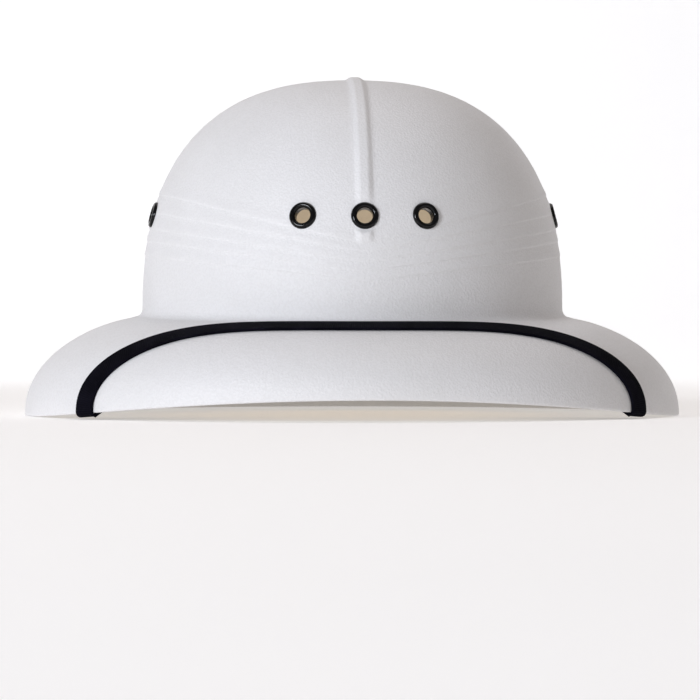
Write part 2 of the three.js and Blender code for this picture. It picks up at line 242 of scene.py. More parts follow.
class StageSettings(bpy.types.PropertyGroup):
    """Floor, light and camera."""

    floor: tint("Floor", "Pale tone of the floor", (0.92, 0.91, 0.905))
    camera_turn: angle("Camera turn", "Turn of the camera from the front", -2.87)
    camera_height: length("Camera height", "Height of the camera over the floor", 30.0 * MM)
    camera_distance: length("Camera distance", "From the helmet's middle to the camera", 1.395)
    lens: number("Lens", "Focal length in millimetres on a 36 mm sensor", 152.0)
    floor_glow: number("Floor glow", "Light that the floor gives off, as a light table does", 0.31)
    key_power: number("Key power", "Power of the softbox at the left, in watts", 57.0)
    key_tint: tint("Key tint", "Cool tone of the softbox", (0.89, 0.93, 1.0))
    top_power: number("Top power", "Power of the softbox overhead, in watts", 16.0)
    backdrop_power: number("Backdrop power", "Power of the softbox that faces the backdrop, in watts", 10.0)
    lamp_power: number("Lamp power", "Power of the lamp that shows the lining, in watts", 0.07)
    sky_strength: number("Sky strength", "Strength of the even light from all round", 0.17)
    sky_tint: tint("Sky tint", "Warm tone of the even light", (1.0, 0.93, 0.90))


class HelmetSettings(bpy.types.PropertyGroup):
    """All settings of the helmet and its stage."""

    crown: PointerProperty(type=CrownSettings)
    brim: PointerProperty(type=BrimSettings)
    finish: PointerProperty(type=ShellFinish)
    vents: PointerProperty(type=VentSettings)
    strap: PointerProperty(type=StrapSettings)
    band: PointerProperty(type=BandSettings)
    stage: PointerProperty(type=StageSettings)


# Form of the crown and the brim

def lerp(start, end, share):
    """The value a share of the way from start to end."""
    return start + (end - start) * share


def smooth(low, high, value):
    """0 below low, 1 above high, and an even S between."""
    share = np.clip((value - low) / (high - low), 0.0, 1.0)
    return share * share * (3.0 - 2.0 * share)


def unit(vectors):
    """The vectors at length 1."""
    return vectors / np.linalg.norm(vectors, axis=-1, keepdims=True)


def paired(first, second):
    """Two numbers or arrays as arrays of one shape."""
    return np.broadcast_arrays(np.asarray(first, float), np.asarray(second, float))


def eased(share):
    """A share that runs fast at first and slows down to its end."""
    return 1.0 - (1.0 - share) ** 2


def crown_rotation(crown):
    """The crown's lean as a matrix."""
    return np.array(Matrix.Rotation(crown.lean, 3, "X"))


def dome_spread(crown, rise):
    """How far the dome has closed in at a rise: 1 at its base, 0 at its top."""
    part = np.clip(rise / crown.height, 0.0, 1.0)
    return (1.0 - part**crown.fullness) ** (1.0 / crown.fullness)


def dome_rise(crown, start, share):
    """The rise a share of the way, by angle, from a start rise to the top."""
    power = 2.0 / crown.fullness
    low = np.arcsin((start / crown.height) ** (1.0 / power))
    return crown.height * np.sin(lerp(low, RIGHT_ANGLE, share)) ** power


def crown_points(crown, turn, rise, inset=0.0):
    """Points of the crown: turn is the angle from the front, rise the height over the base."""
    turn, rise = paired(turn, rise)
    spread = dome_spread(crown, rise)
    local = np.stack(
        [
            (crown.half_width * spread - inset) * np.sin(turn),
            -(crown.half_length * spread - inset) * np.cos(turn),
            rise,
        ],
        axis=-1,
    )
    return local @ crown_rotation(crown).T + np.array((0.0, crown.centre_y, crown.base_height))


def crown_normals(crown, turn, rise):
    """Outward directions of the crown."""
    turn, rise = paired(turn, rise)
    power = crown.fullness - 1.0
    closing = dome_spread(crown, rise) ** power
    local = np.stack(
        [
            closing * np.sin(turn) / crown.half_width,
            -closing * np.cos(turn) / crown.half_length,
            (np.maximum(rise, 0.0) / crown.height) ** power / crown.height,
        ],
        axis=-1,
    )
    return unit(local) @ crown_rotation(crown).T


def rim_points(brim, turn):
    """The rim's lower edge, which arches up at the front."""
    turn = np.asarray(turn, float)
    reach = np.where(np.cos(turn) > 0.0, brim.front_reach, brim.back_reach)
    off_front = np.abs(np.arctan2(np.sin(turn), np.cos(turn))) * brim.arch_spread
    lift = np.where(off_front < RIGHT_ANGLE, brim.arch * np.cos(off_front) ** 2, 0.0)
    return np.stack([brim.half_width * np.sin(turn), brim.centre_y - reach * np.cos(turn), lift], axis=-1)


def brim_points(helmet, turn, sweep):
    """Points of the brim's top: sweep goes from 0 at the crown to a right angle at the rim."""
    turn, sweep = paired(turn, sweep)
    root = crown_points(helmet.crown, turn, 0.0)
    rim = rim_points(helmet.brim, turn)
    out = np.sin(sweep) ** helmet.brim.round_over
    up = np.clip(np.cos(sweep), 0.0, 1.0) ** helmet.brim.curl
    points = lerp(root, rim, out[..., None])
    edge = rim[..., 2] + helmet.brim.rim_height
    points[..., 2] = lerp(edge, root[..., 2], up)
    return points


def brim_normals(helmet, turn, sweep):
    """Outward directions of the brim's top."""
    turn, sweep = paired(turn, sweep)
    inner = np.maximum(sweep - NUDGE, 0.0)
    outer = np.minimum(sweep + NUDGE, RIGHT_ANGLE)
    across = brim_points(helmet, turn, outer) - brim_points(helmet, turn, inner)
    along = brim_points(helmet, turn + NUDGE, sweep) - brim_points(helmet, turn - NUDGE, sweep)
    return unit(np.cross(across, along))


def fillet_axes(crown, turn):
    """Outward and upward directions at the crown's base."""
    return crown_normals(crown, turn, 0.0), crown_rotation(crown) @ np.array((0.0, 0.0, 1.0))


def fillet_points(crown, turn, bend, depth):
    """The fillet between crown and brim: bend 0 is on the crown's wall, a right angle on the brim."""
    out, up = fillet_axes(crown, turn)
    centre = crown_points(crown, turn, 0.0) + (out + up) * crown.root_fillet
    reach = crown.root_fillet + depth
    bend = np.asarray(bend, float)[..., None]
    return centre - reach * (np.cos(bend) * out + np.sin(bend) * up)


# Meshes

class Skin(NamedTuple):
    """Points with quads and triangles over them, and a place on the surface for each of their corners."""

    points: np.ndarray
    quads: np.ndarray
    triangles: np.ndarray
    quad_places: np.ndarray
    triangle_places: np.ndarray


def skin(rings, closed, caps=None, run=None, girth=None):
    """A skin over rings of equal count.

    A closed row of rings joins its last ring to its first. Caps are the middle points of the two ends
    of an open row. Run and girth are the places along and round the surface, for its UV map.
    """
    rings = np.asarray(rings)
    rows, count = rings.shape[:2]
    spans = rows if closed else rows - 1
    run = np.arange(rows + 1.0) if run is None else run
    girth = np.arange(count + 1.0) if girth is None else girth
    grids = np.meshgrid(np.arange(spans), np.arange(count), indexing="ij")
    row, column = (grid.ravel() for grid in grids)
    after, beside = (row + 1) % rows, (column + 1) % count
    corners = ((row, column), (row, beside), (after, beside), (after, column))
    quads = np.stack([a * count + b for a, b in corners], 1)
    spots = ((row, column), (row, column + 1), (row + 1, column + 1), (row + 1, column))
    quad_places = np.stack([np.stack([run[a], girth[b]], 1) for a, b in spots], 1)
    points = rings.reshape(-1, 3)
    triangles, triangle_places = np.zeros((0, 3), int), np.zeros((0, 3, 2))
    if caps is not None:
        first, last = len(points), len(points) + 1
        points = np.vstack([points, *caps])
        column = np.arange(count)
        beside, tail = (column + 1) % count, (rows - 1) * count
        triangles = np.vstack(
            [
                np.stack([np.full(count, first), beside, column], 1),
                np.stack([np.full(count, last), tail + column, tail + beside], 1),
            ]
        )
        ends = [np.stack([np.full(count, run[end]), girth[:-1]], 1) for end in (0, rows - 1)]
        triangle_places = np.repeat(np.vstack(ends)[:, None, :], 3, axis=1)
    return Skin(points, quads, triangles, quad_places, triangle_places)


def joined(skins):
    """Several skins as one."""
    starts = np.cumsum([0] + [len(part.points) for part in skins[:-1]])
    moved = [
        part._replace(quads=part.quads + start, triangles=part.triangles + start)
        for part, start in zip(skins, starts)
    ]
    return Skin(*(np.concatenate(values) for values in zip(*moved)))


def points_in(points, quads, triangles):
    """Whether the faces of a closed skin point into it."""
    halves = np.vstack([quads[:, [0, 1, 2]], quads[:, [0, 2, 3]], triangles])
    a, b, c = (points[halves[:, k]] for k in range(3))
    return np.einsum("ij,ij->", a, np.cross(b, c)) < 0.0


def mesh_of(name, skinned):
    """A smooth mesh of a skin, with its faces pointing out."""
    points, quads, triangles, quad_places, triangle_places = skinned
    if points_in(points, quads, triangles):
        quads, quad_places = quads[:, ::-1], quad_places[:, ::-1]
        triangles, triangle_places = triangles[:, ::-1], triangle_places[:, ::-1]
    mesh = bpy.data.meshes.new(name)
    mesh.from_pydata(points.tolist(), [], quads.tolist() + triangles.tolist())
    places = np.vstack([quad_places.reshape(-1, 2), triangle_places.reshape(-1, 2)])
    mesh.uv_layers.new(name=PLACE_MAP).data.foreach_set("uv", places.astype(np.float32).ravel())
    smooth_faces(mesh)
    mesh.update()
    return mesh


def smooth_faces(mesh):
    """Shades every face of a mesh smooth."""
    mesh.polygons.foreach_set("use_smooth", np.ones(len(mesh.polygons), bool))


def add_object(name, data):
    """Links a new object that shows a mesh, a light or a camera."""
    thing = bpy.data.objects.new(name, data)
    bpy.context.scene.collection.objects.link(thing)
    return thing


def dress(piece, materials, slot, *nodes):
    """Gives a piece its materials and its body, and hides the nodes that it stands for; the slot is not
    used.
    """
    for material in materials:
        piece.data.materials.append(material)
    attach(piece, BODY)
    if nodes:
        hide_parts(*nodes)


def full_turn(count):
    """Angles once round, at even steps."""
    return np.linspace(0.0, 2.0 * math.pi, count, endpoint=False)


def turned(outline, sides):
    """Rings of an outline, given as radius and height, turned round +Z."""
    turn = full_turn(sides)
    return [
        np.stack([radius * np.cos(turn), radius * np.sin(turn), np.full_like(turn, height)], 1)
        for radius, height in outline
    ]


def run_along(points, closed=False):
    """Places along a line of points, from 0 at the first, once round where it closes."""
    line = np.vstack([points, points[:1]]) if closed else points
    return np.concatenate([[0.0], np.cumsum(np.linalg.norm(np.diff(line, axis=0), axis=1))])


def rounded_section(half_width, half_height, radius, arc_steps, flat_steps):
    """Points round a rectangle with rounded corners, from the middle of its right side."""
    flats = np.linspace(-1.0, 1.0, flat_steps + 2)[1:-1]
    inner_w, inner_h = half_width - radius, half_height - radius
    section = []
    for quarter, (x, y) in enumerate(((1, 1), (-1, 1), (-1, -1), (1, -1))):
        for bend in np.linspace(0.0, RIGHT_ANGLE, arc_steps + 1) + quarter * RIGHT_ANGLE:
            section.append((x * inner_w + radius * math.cos(bend), y * inner_h + radius * math.sin(bend)))
        if quarter % 2 == 0:
            section.extend((-x * inner_w * flat, y * half_height) for flat in flats)
    return np.array(section)


# Shading

MIX_FACTOR, MIX_FIRST, MIX_SECOND, MIX_RESULT = 0, 6, 7, 2
NUMBER, VECTOR, COLOUR = "NodeSocketFloat", "NodeSocketVector", "NodeSocketColor"


class Nodes:
    """Short ways to add nodes to one tree, where an input is a socket to link or a plain value."""

    def __init__(self, tree):
        self.tree = tree

    def fill(self, node, inputs):
        """Links or sets inputs of a node."""
        for key, value in inputs.items():
            if isinstance(value, bpy.types.NodeSocket):
                self.tree.links.new(value, node.inputs[key])
            else:
                node.inputs[key].default_value = value

    def add(self, kind, inputs=None, **settings):
        """The outputs of a new node with its settings and its inputs."""
        node = self.tree.nodes.new(kind)
        for key, value in settings.items():
            setattr(node, key, value)
        self.fill(node, inputs or {})
        return node.outputs

    def math(self, operation, first, second=0.0):
        """A number worked out from two numbers."""
        return self.add("ShaderNodeMath", {0: first, 1: second}, operation=operation)[0]

    def vector(self, operation, first, second):
        """A vector worked out from two vectors."""
        return self.add("ShaderNodeVectorMath", {0: first, 1: second}, operation=operation)[0]

    def scaled(self, vector, scale):
        """A vector made longer or shorter."""
        return self.add("ShaderNodeVectorMath", {0: vector, "Scale": scale}, operation="SCALE")[0]

    def split(self, vector):
        """The parts X, Y and Z of a vector."""
        return self.add("ShaderNodeSeparateXYZ", {0: vector})

    def ramp(self, value, low, high, start=0.0, end=1.0):
        """A value brought from low..high to start..end along an even S."""
        inputs = {"Value": value, "From Min": low, "From Max": high, "To Min": start, "To Max": end}
        return self.add("ShaderNodeMapRange", inputs, interpolation_type="SMOOTHSTEP")[0]

    def mix(self, factor, first, second):
        """A colour between two colours."""
        inputs = {MIX_FACTOR: factor, MIX_FIRST: first, MIX_SECOND: second}
        return self.add("ShaderNodeMix", inputs, data_type="RGBA")[MIX_RESULT]

    def noise(self, place, scale, detail):
        """A noise, as Fac and as Color."""
        return self.add("ShaderNodeTexNoise", {"Vector": place, "Scale": scale, "Detail": detail})

    def group(self, name, make, inputs):
        """A shared node group with its inputs, made at its first use."""
        tree = bpy.data.node_groups.get(name) or make(name)
        return self.add("ShaderNodeGroup", inputs, node_tree=tree)

    def bump(self, height, distance):
        """A normal from a height."""
        return self.add("ShaderNodeBump", {"Height": height, "Distance": distance})["Normal"]

    def place(self):
        """The place on the piece, in metres."""
        return self.add("ShaderNodeTexCoord")["Object"]

    def surface_place(self):
        """The place along and round the surface."""
        return self.add("ShaderNodeUVMap", uv_map=PLACE_MAP)["UV"]


def opaque(colour):
    """A colour with its alpha."""
    return (*colour, 1.0)


def shaded(colour, share):
    """A darker tone of a colour, with its alpha."""
    return opaque([share * part for part in colour])


def new_group(name, inputs, outputs):
    """An empty node group with its sockets. Inputs are (name, kind, default) rows."""
    group = bpy.data.node_groups.new(name, "ShaderNodeTree")
    for socket_name, kind, default in inputs:
        socket = group.interface.new_socket(name=socket_name, in_out="INPUT", socket_type=kind)
        if default is not None:
            socket.default_value = default
    for socket_name, kind in outputs:
        group.interface.new_socket(name=socket_name, in_out="OUTPUT", socket_type=kind)
    nodes = Nodes(group)
    return group, nodes, nodes.add("NodeGroupInput")


# Pebble grain, shared by the shell and the sweatband

PEBBLE_CREST = 0.1
PEBBLE_FOOT = 0.75
PEBBLE_BLEND = 0.5
STIR_CENTRE = (0.5, 0.5, 0.5)
GRAIN_DETAIL = 1.0
FINE_GRAIN_SCALE = 2.7
FINE_GRAIN_SHARE = 0.35
# Crease end bounds the mask of the grooves, where shade is painted.
CREASE_END = 0.45
GRAIN_TOP = 1.2


def make_pebble_grain(name):
    """Rounded pebbles with grooves between them, as on grained fibre and leathercloth, and a mask of the
    grooves where shade is painted.
    """
    inputs = (("Place", VECTOR, None), ("Cell", NUMBER, 1.0 * MM))
    outputs = (("Height", NUMBER), ("Creases", NUMBER))
    group, nodes, given = new_group(name, inputs, outputs)
    place = given["Place"]
    scale = nodes.math("DIVIDE", 1.0, given["Cell"])
    stir = nodes.vector("SUBTRACT", nodes.noise(place, scale, GRAIN_DETAIL)["Color"], STIR_CENTRE)
    stirred = nodes.vector("ADD", place, nodes.scaled(stir, given["Cell"]))
    cell_inputs = {"Vector": stirred, "Scale": scale, "Smoothness": PEBBLE_BLEND}
    cells = nodes.add("ShaderNodeTexVoronoi", cell_inputs, feature="SMOOTH_F1")["Distance"]
    pebble = nodes.ramp(cells, PEBBLE_CREST, PEBBLE_FOOT, 1.0, 0.0)
    fine = nodes.noise(place, nodes.math("MULTIPLY", scale, FINE_GRAIN_SCALE), GRAIN_DETAIL)["Fac"]
    height = nodes.math("ADD", pebble, nodes.math("MULTIPLY", fine, FINE_GRAIN_SHARE))
    # Painted shade: a mask of the grooves between the pebbles, used to darken them.
    crease_shade = nodes.ramp(pebble, 0.0, CREASE_END, 1.0, 0.0)
    nodes.add("NodeGroupOutput", {"Height": height, "Creases": crease_shade})
    return group


def pebble_grain(nodes, place, cell):
    """The grain's Height, and the mask of its grooves where shade is painted."""
    return nodes.group("Pebble grain", make_pebble_grain, {"Place": place, "Cell": cell})


# Tone drift, shared by all materials

PATCH_DETAIL = 4.0
PATCH_START = 0.35
PATCH_END = 0.68


def make_tone_drift(name):
    """A tone that drifts over the surface in soft patches, with the mask of the patches."""
    inputs = (
        ("Tone", COLOUR, None),
        ("Drift", COLOUR, None),
        ("Place", VECTOR, None),
        ("Patch", NUMBER, 20.0 * MM),
    )
    group, nodes, given = new_group(name, inputs, (("Tone", COLOUR), ("Mask", NUMBER)))
    scale = nodes.math("DIVIDE", 1.0, given["Patch"])
    noise = nodes.noise(given["Place"], scale, PATCH_DETAIL)["Fac"]
    mask = nodes.ramp(noise, PATCH_START, PATCH_END)
    nodes.add("NodeGroupOutput", {"Tone": nodes.mix(mask, given["Tone"], given["Drift"]), "Mask": mask})
    return group


def tone_drift(nodes, place, patch, tone, drift):
    """The drifting Tone and its Mask."""
    inputs = {"Tone": tone, "Drift": drift, "Place": place, "Patch": patch}
    return nodes.group("Tone drift", make_tone_drift, inputs)


# Weave, shared by the strap and the binding

THREAD_SHARE = 0.7
RIB_SHARE = 0.3
RAISED_START = 0.25
RAISED_END = 0.85
THREAD_OFFSET = 0.5


def make_woven_tape(name):
    """Long threads that dive under cross ribs, as on a woven tape."""
    inputs = (("Place", VECTOR, None), ("Rib", NUMBER, 0.9 * MM), ("Thread", NUMBER, 0.5 * MM))
    outputs = (("Height", NUMBER), ("Raised", NUMBER))
    group, nodes, given = new_group(name, inputs, outputs)
    place = nodes.split(given["Place"])
    ribs = nodes.math("DIVIDE", place["X"], given["Rib"])
    odd_rib = nodes.math("MODULO", nodes.math("FLOOR", ribs), 2.0)
    threads = nodes.math("DIVIDE", place["Y"], given["Thread"])
    threads = nodes.math("ADD", threads, nodes.math("MULTIPLY", odd_rib, THREAD_OFFSET))
    rib_wave, thread_wave = (
        nodes.math("ABSOLUTE", nodes.math("SINE", nodes.math("MULTIPLY", count, math.pi)))
        for count in (ribs, threads)
    )
    thread = nodes.math("ADD", nodes.math("MULTIPLY", thread_wave, THREAD_SHARE), RIB_SHARE)
    height = nodes.math("MULTIPLY", rib_wave, thread)
    nodes.add("NodeGroupOutput", {"Height": height, "Raised": nodes.ramp(height, RAISED_START, RAISED_END)})
    return group


def woven_tape(nodes, rib, thread):
    """The weave's Height and Raised."""
    inputs = {"Place": nodes.surface_place(), "Rib": rib, "Thread": thread}
    return nodes.group("Woven tape", make_woven_tape, inputs)


# Materials

class Surface(NamedTuple):
    """How a material takes the light.

    Patch is the size of its tone patches, relief the depth of its bump and gloss the level of its
    reflections. Its roughness goes from low to high with its texture.
    """

    patch: float
    low_roughness: float
    high_roughness: float
    gloss: float
    relief: float = 0.0


OUTSIDE = Surface(45.0 * MM, 0.62, 0.46, 0.4)
INSIDE = Surface(3.0 * MM, 0.55, 0.7, 0.3, 0.05 * MM)
ENAMEL = Surface(2.5 * MM, 0.05, 0.13, 0.24)
WEBBING = Surface(12.0 * MM, 0.9, 0.68, 0.02, 0.12 * MM)
LEATHERCLOTH = Surface(18.0 * MM, 0.72, 0.55, 0.5, 0.06 * MM)
BINDING = Surface(15.0 * MM, 0.75, 0.6, 0.5, 0.08 * MM)
THREAD = Surface(0.6 * MM, 0.6, 0.8, 0.5, 0.04 * MM)

# Share of painted shade in the grooves of the shell's grain
OUTSIDE_CREASE_SHADE = 0.25
LINING_BELOW = 3.0 * MM
LINING_ABOVE = 9.0 * MM
UNDERSIDE_FIBRE_SHADE = 0.975
LINING_FIBRE_SHADE = 0.97
FIBRE_SCALE = 900.0
FIBRE_DETAIL = 3.0
# Share of the painted highlight on the strap's raised yarn
RAISED_YARN = 0.6
WEBBING_SHEEN = 0.004
WEBBING_SHEEN_ROUGHNESS = 0.4
# Share of painted shade in the grooves of the leathercloth's grain
LEATHERCLOTH_CREASE_SHADE = 0.4
BINDING_RIB = 0.7 * MM
BINDING_THREAD = 0.45 * MM
BINDING_SHADE = 0.86
BINDING_SHEEN = 0.15
THREAD_SHADE = 0.8
PAPER_PATCH = 0.6
PAPER_SHADE = 0.985
PAPER_ROUGHNESS = 0.85
PAPER_GLOSS = 0.2


def new_material(name):
    """A material with its principled shader and a tree to add nodes to."""
    material = bpy.data.materials.new(name)
    material.use_nodes = True
    return material, material.node_tree.nodes["Principled BSDF"], Nodes(material.node_tree)


def finish_shader(nodes, shader, surface, colour, texture, top=1.0, height=None):
    """Gives a shader its colour, a roughness that follows a texture up to its top, and a bump."""
    rough = nodes.ramp(texture, 0.0, top, surface.low_roughness, surface.high_roughness)
    nodes.fill(shader, {"Base Color": colour, "Roughness": rough, "Specular IOR Level": surface.gloss})
    if height is not None:
        nodes.fill(shader, {"Normal": nodes.bump(height, surface.relief)})


def shell_outside_material(finish):
    """White pressed fibre with a fine pebble grain, and painted shade in the grooves between the pebbles."""
    material, shader, nodes = new_material("shell_outside")
    place = nodes.place()
    grain = pebble_grain(nodes, place, finish.grain_cell)
    tone = tone_drift(nodes, place, OUTSIDE.patch, opaque(finish.outside), opaque(finish.outside_drift))
    # Painted shade: the crease tone darkens the grooves of the grain.
    crease_shade = nodes.math("MULTIPLY", grain["Creases"], OUTSIDE_CREASE_SHADE)
    colour = nodes.mix(crease_shade, tone["Tone"], opaque(finish.crease_shade))
    surface = OUTSIDE._replace(relief=finish.grain_depth)
    finish_shader(nodes, shader, surface, colour, grain["Height"], GRAIN_TOP, grain["Height"])
    return material


def shell_inside_material(finish, crown):
    """Smooth warm white under the brim, turning to cream inside the crown."""
    material, shader, nodes = new_material("shell_inside")
    place = nodes.place()
    rise = nodes.split(place)["Z"]
    lining = nodes.ramp(rise, crown.base_height - LINING_BELOW, crown.base_height + LINING_ABOVE)
    base = nodes.mix(lining, opaque(finish.underside), opaque(finish.lining))
    fibre_tones = (
        shaded(finish.underside, UNDERSIDE_FIBRE_SHADE),
        shaded(finish.lining, LINING_FIBRE_SHADE),
    )
    tone = tone_drift(nodes, place, INSIDE.patch, base, nodes.mix(lining, *fibre_tones))
    fibres = nodes.noise(place, FIBRE_SCALE, FIBRE_DETAIL)["Fac"]
    finish_shader(nodes, shader, INSIDE, tone["Tone"], tone["Mask"], height=fibres)
    return material


def enamel_material(vents):
    """Glossy black enamel, a little rubbed."""
    material, shader, nodes = new_material("vent_enamel")
    tone = tone_drift(nodes, nodes.place(), ENAMEL.patch, opaque(vents.enamel), opaque(vents.rubbed))
    finish_shader(nodes, shader, ENAMEL, tone["Tone"], tone["Mask"])
    return material


def webbing_material(strap):
    """Blue-black woven tape, with a painted highlight on the raised yarn."""
    material, shader, nodes = new_material("strap_webbing")
    weave = woven_tape(nodes, strap.rib_pitch, strap.thread_pitch)
    tone = tone_drift(nodes, nodes.place(), WEBBING.patch, opaque(strap.yarn), opaque(strap.yarn_drift_and_highlight))
    # Painted highlight: the raised yarn takes the lighter tone.
    raised = nodes.math("MULTIPLY", weave["Raised"], RAISED_YARN)
    colour = nodes.mix(raised, tone["Tone"], opaque(strap.yarn_drift_and_highlight))
    finish_shader(nodes, shader, WEBBING, colour, weave["Height"], height=weave["Height"])
    nodes.fill(shader, {"Sheen Weight": WEBBING_SHEEN, "Sheen Roughness": WEBBING_SHEEN_ROUGHNESS})
    return material


def leathercloth_material(band):
    """Matt cream leathercloth with a small grain, and painted shade in the grooves between the pebbles."""
    material, shader, nodes = new_material("sweatband_leathercloth")
    place = nodes.place()
    grain = pebble_grain(nodes, place, band.grain_cell)
    drift = opaque(band.cream_drift)
    tone = tone_drift(nodes, place, LEATHERCLOTH.patch, opaque(band.cream), drift)
    # Painted shade: the grooves of the grain take the darker drift tone.
    crease_shade = nodes.math("MULTIPLY", grain["Creases"], LEATHERCLOTH_CREASE_SHADE)
    colour = nodes.mix(crease_shade, tone["Tone"], drift)
    finish_shader(nodes, shader, LEATHERCLOTH, colour, grain["Height"], GRAIN_TOP, grain["Height"])
    return material


def binding_material(band):
    """Pale tape with a fine weave, and painted shade in the dips between its threads."""
    material, shader, nodes = new_material("binding_tape")
    weave = woven_tape(nodes, BINDING_RIB, BINDING_THREAD)
    shade = shaded(band.tape, BINDING_SHADE)
    tone = tone_drift(nodes, nodes.place(), BINDING.patch, opaque(band.tape), shade)
    # Painted shade: the dips of the weave take the darker tone, which also gives the random drift patches.
    colour = nodes.mix(weave["Raised"], shade, tone["Tone"])
    finish_shader(nodes, shader, BINDING, colour, weave["Height"], height=weave["Height"])
    nodes.fill(shader, {"Sheen Weight": BINDING_SHEEN})
    return material


def thread_material(band):
    """Twisted sewing thread."""
    material, shader, nodes = new_material("sewing_thread")
    shade = shaded(band.thread, THREAD_SHADE)
    tone = tone_drift(nodes, nodes.place(), THREAD.patch, opaque(band.thread), shade)
    finish_shader(nodes, shader, THREAD, tone["Tone"], tone["Mask"], height=tone["Mask"])
    return material


def floor_material(stage):
    """Pale seamless paper."""
    material, shader, nodes = new_material("studio_paper")
    shade = shaded(stage.floor, PAPER_SHADE)
    tone = tone_drift(nodes, nodes.place(), PAPER_PATCH, opaque(stage.floor), shade)["Tone"]
    nodes.fill(
        shader,
        {
            "Base Color": tone,
            "Roughness": PAPER_ROUGHNESS,
            "Specular IOR Level": PAPER_GLOSS,
            "Emission Color": tone,
            "Emission Strength": stage.floor_glow,
        },
    )
    return material


# Shell

FINE_TURN = math.radians(3.0)
FINE_COLUMNS = 10
SIDE_COLUMNS = 140
ROOT_ROWS = 8
LIP_ROWS = 5
FOLD_ROWS = 5
DOME_ROWS = 56
FILLET_ROWS = 8
BRIM_ROWS = 44
RIM_ROWS = 6
UNDERSIDE_ROWS = 30
LINING_ROWS = 34
BRIM_START = math.radians(10.0)
LINING_START = 0.02
FRONT_PLEAT_SHARE = 0.6
PLEAT_CORNER = 0.04
PLEAT_SHALLOW_TO = 0.05
PLEAT_FULL_FROM = 0.4
RIDGE_CREST = 0.3
SEAT_MARGIN = 0.25 * MM
SEAT_BLEND = 2.0 * MM
HOLE_SIDES = 48
CUTTER_REACH = 3.0
SHARP_EDGE = math.radians(50.0)
SEAM_WELD = 1e-3 * MM


def shell_turns():
    """Columns round the shell, closer together at the front and back, where the ridge runs."""
    fine = np.linspace(0.0, FINE_TURN, FINE_COLUMNS, endpoint=False)
    side = np.linspace(FINE_TURN, math.pi - FINE_TURN, SIDE_COLUMNS, endpoint=False)
    half = np.concatenate([fine, side, math.pi - FINE_TURN + fine])
    return np.concatenate([half, math.pi + half])


def pleat_rise(pleat, turn):
    """Height of a pleat's edge, which meets its mirror image at the front in a soft corner."""
    corner = math.hypot(1.0, PLEAT_CORNER) - PLEAT_CORNER
    climb = (np.hypot(np.sin(turn), PLEAT_CORNER) - PLEAT_CORNER) / corner
    return lerp(pleat.front_rise, pleat.side_rise, climb)


def crown_rows(crown, turn):
    """Rise and swell of the rows of the crown's outside, from the fillet to the top."""
    off_front = smooth(PLEAT_SHALLOW_TO, PLEAT_FULL_FROM, np.abs(np.sin(turn)))
    depth = crown.pleat_depth * lerp(FRONT_PLEAT_SHARE, 1.0, off_front)
    edges = [pleat_rise(pleat, turn) for pleat in PLEATS]
    lips = [edge - crown.pleat_lip for edge in edges]
    fold_tops = lips[1:] + [edges[-1] + crown.pleat_fade]
    flat = np.zeros_like(turn)
    rows = [
        (lerp(crown.root_fillet, lips[0], share), flat)
        for share in np.linspace(0.0, 1.0, ROOT_ROWS + 1)[1:-1]
    ]
    for lip, edge, top in zip(lips, edges, fold_tops):
        for share in np.linspace(0.0, 1.0, LIP_ROWS, endpoint=False):
            rows.append((lerp(lip, edge, share), depth * smooth(0.0, 1.0, share)))
        for share in np.linspace(0.0, 1.0, FOLD_ROWS, endpoint=False):
            rows.append((lerp(edge, top, share), depth * 0.5 * (1.0 + math.cos(math.pi * share))))
    for step in np.linspace(0.0, 1.0, DOME_ROWS, endpoint=False):
        rows.append((dome_rise(crown, fold_tops[-1], eased(step)), flat))
    return rows


def ridge_swell(crown, x, rise):
    """How far the ridge lifts the crown."""
    across = 1.0 - smooth(RIDGE_CREST * crown.ridge_foot, crown.ridge_foot, np.abs(x))
    return crown.ridge_height * across * smooth(crown.ridge_tail, crown.ridge_tail + crown.ridge_taper, rise)


def vent_seat(crown, vent):
    """The place of a vent on the crown and the direction that it faces."""
    turn = math.radians(vent.turn_deg)
    return crown_points(crown, turn, vent.rise), crown_normals(crown, turn, vent.rise)


def press_seats(crown, points, radius, depth):
    """Presses a flat seat into the wall at each vent."""
    for vent in VENTS:
        seat, normal = vent_seat(crown, vent)
        offset = points - seat
        height = offset @ normal
        off_axis = np.linalg.norm(offset - height[..., None] * normal, axis=-1)
        pressed = 1.0 - smooth(radius, radius + SEAT_BLEND, off_axis)
        far_side = np.abs(height) > crown.half_width / 2
        pressed[far_side] = 0.0
        points -= normal * ((height - depth) * pressed)[..., None]
    return points


def rim_ring(helmet, turn, inset, bend):
    """A ring round the rim's edge, where bend goes from 0 at the faces to a right angle underneath."""
    brim = helmet.brim
    ring = brim_points(helmet, turn, RIGHT_ANGLE) - inset * brim_normals(helmet, turn, RIGHT_ANGLE)
    ring[..., 2] = rim_points(brim, turn)[..., 2] + brim.rim_height * (1.0 - math.sin(bend))
    return ring


def shell_outside_rings(helmet, turn):
    """Rings of the outside, from the top of the crown to the rim."""
    crown = helmet.crown
    rings = []
    for rise, swell in reversed(crown_rows(crown, turn)):
        points = crown_points(crown, turn, rise)
        swell = swell + ridge_swell(crown, points[..., 0], rise)
        rings.append(points + crown_normals(crown, turn, rise) * swell[..., None])
    bends = np.linspace(0.0, RIGHT_ANGLE, FILLET_ROWS)
    rings += [fillet_points(crown, turn, bend, 0.0) for bend in bends]
    sweeps = np.linspace(BRIM_START, RIGHT_ANGLE, BRIM_ROWS)
    rings += [brim_points(helmet, turn, sweep) for sweep in sweeps]
    for bend in np.linspace(0.0, RIGHT_ANGLE, RIM_ROWS)[1:]:
        rings.append(rim_ring(helmet, turn, helmet.brim.rim_width * (1.0 - math.cos(bend)), bend))
    return press_seats(crown, np.array(rings), helmet.vents.flange_radius + SEAT_MARGIN, 0.0)


